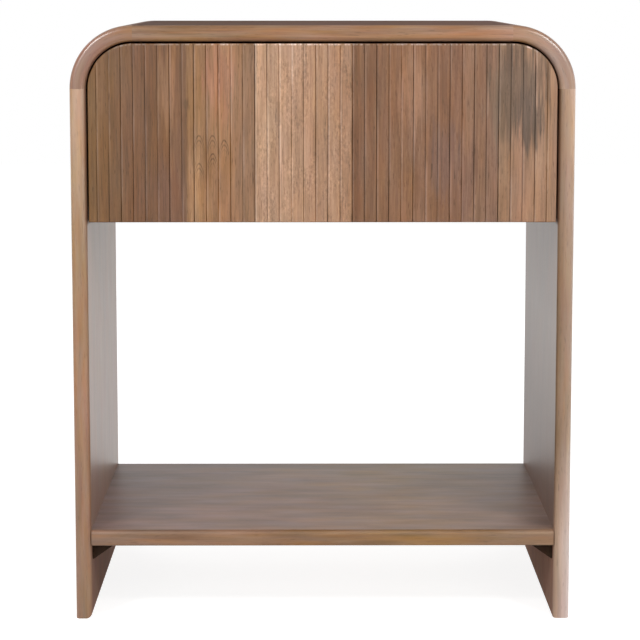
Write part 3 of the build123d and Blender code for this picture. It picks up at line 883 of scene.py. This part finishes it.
front = reededFront()
reedFinish = reedWood()
front.data.materials.clear()
front.data.materials.append(reedFinish)
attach(front, "drawer")
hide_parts("drawer_front")
wearFinish(["drawer_front"], reedFinish)
print("drawer front done,", len(front.data.polygons), "faces")

# Drawer box and bay: planed rubberwood boards without oil, pale and dull
boxTones = ((0.0, "b08d66"), (0.5, "ba9871"), (1.0, "b28e68"))
boxBoards = (("drawer_box_front", "X", 240), ("drawer_box_back", "X", 240), ("drawer_left_side", "Y", 180),
             ("drawer_right_side", "Y", 180), ("drawer_bay_floor", "X", innerSide))
for i, (name, grain, reach) in enumerate(boxBoards):
    wearFinish([name], plankWood("rubberwood_planed_" + name, grain=grain, length=(-reach, reach),
                                 tones=boxTones, roughness=0.6, seed=9.0 + 0.7 * i))
# Sanded birch ply behind and below the drawer: pale yellow, dull and even
plyTones = ((0.0, "b8966c"), (0.5, "c2a27a"), (1.0, "b8966c"))
wearFinish(["back_panel", "drawer_bottom"],
           plankWood("birch_ply_sanded", grain="X", length=(-innerSide, innerSide), tones=plyTones,
                     roughness=0.62, seed=12.5))
# Turned beech dowels: the palest and most even of the woods
beechTones = ((0.0, "c9a27c"), (1.0, "cfaa84"))
wearFinish(["frame_dowels", "shelf_dowels", "bay_floor_dowels", "drawer_box_dowels"],
           plankWood("beech_turned", grain="X", length=(-frameSide, frameSide), tones=beechTones,
                     roughness=0.55, seed=14.0))
print("drawer box done")


# How each steel's roughness and tone vary, and its fine relief in millimetres
steelShape = {"gloss": (-0.1, 0.12), "mottle": (0.92, 1.06), "bump": 0.4, "relief": 0.02}


def zincSteel(name, look):
    # Rolled steel with a bright zinc coat: pale, slightly mottled, drawn lines along its length
    material, add = newMaterial(name)
    place = add("Mapping", {}, {"Vector": add("TexCoord").outputs["Object"], "Scale": toMillimetres})
    lines = add("Mapping", {}, {"Vector": place, "Scale": tuple(1 / size for size in look["lineSize"])})
    drawn = add("TexNoise", {}, {"Vector": lines, "Scale": 1.0, "Detail": 3.0})
    mottle = add("TexVoronoi", {}, {"Vector": place, "Scale": 1 / look["spangle"]})
    shades = add("ValToRGB", {"stops": look["tones"]}, {"Fac": drawn})
    cloudy = add("SeparateColor", {}, {"Color": mottle.outputs["Color"]})
    shift = add("MapRange", {}, (cloudy, 0.0, 1.0, *steelShape["mottle"]))
    colour = add("HueSaturation", {}, {"Color": shades, "Value": shift})
    smooth, dull = [look["roughness"] + change for change in steelShape["gloss"]]
    gloss = add("MapRange", {}, (drawn, 0.0, 1.0, smooth, dull))
    relief = add("Bump", {}, {"Height": drawn, "Strength": steelShape["bump"],
                              "Distance": steelShape["relief"] / 1000})
    surface = add("BsdfPrincipled", {}, {"Base Color": colour, "Metallic": 1.0, "Roughness": gloss,
                                         "Normal": relief})
    add("OutputMaterial", {}, {"Surface": surface})
    return material


# The slides are a bluish grey, the screws' yellow zinc is warmer, and the hard steel balls are brightest
slideLook = {"lineSize": (1.5, 60, 0.8), "spangle": 4.0, "tones": ((0.3, "9fa2a6"), (0.7, "c3c5c8")),
             "roughness": 0.34}
screwLook = {"lineSize": (0.8, 0.8, 0.8), "spangle": 1.5, "tones": ((0.3, "a39a7c"), (0.7, "c2b995")),
             "roughness": 0.36}
ballLook = {"lineSize": (1.2, 1.2, 1.2), "spangle": 2.5, "tones": ((0.3, "c4c6c9"), (0.7, "d2d3d5")),
            "roughness": 0.16}
slideSteel = zincSteel("steel_zinc_slide", slideLook)
screwSteel = zincSteel("steel_yellow_zinc_screw", screwLook)
ballSteel = zincSteel("steel_bearing_ball", ballLook)
slideParts = ("_slide_cabinet_member", "_slide_middle_member", "_slide_drawer_member", "_outer_ball_cage",
              "_inner_ball_cage")
for side in ("left", "right"):
    wearFinish([side + part for part in slideParts], slideSteel)
    wearFinish([side + "_cabinet_slide_screws", side + "_drawer_slide_screws"], screwSteel)
    wearFinish([side + "_outer_slide_balls", side + "_inner_slide_balls"], ballSteel)
wearFinish(["cleat_screws", "back_panel_screws", "drawer_front_screws"], screwSteel)
print("metals done")
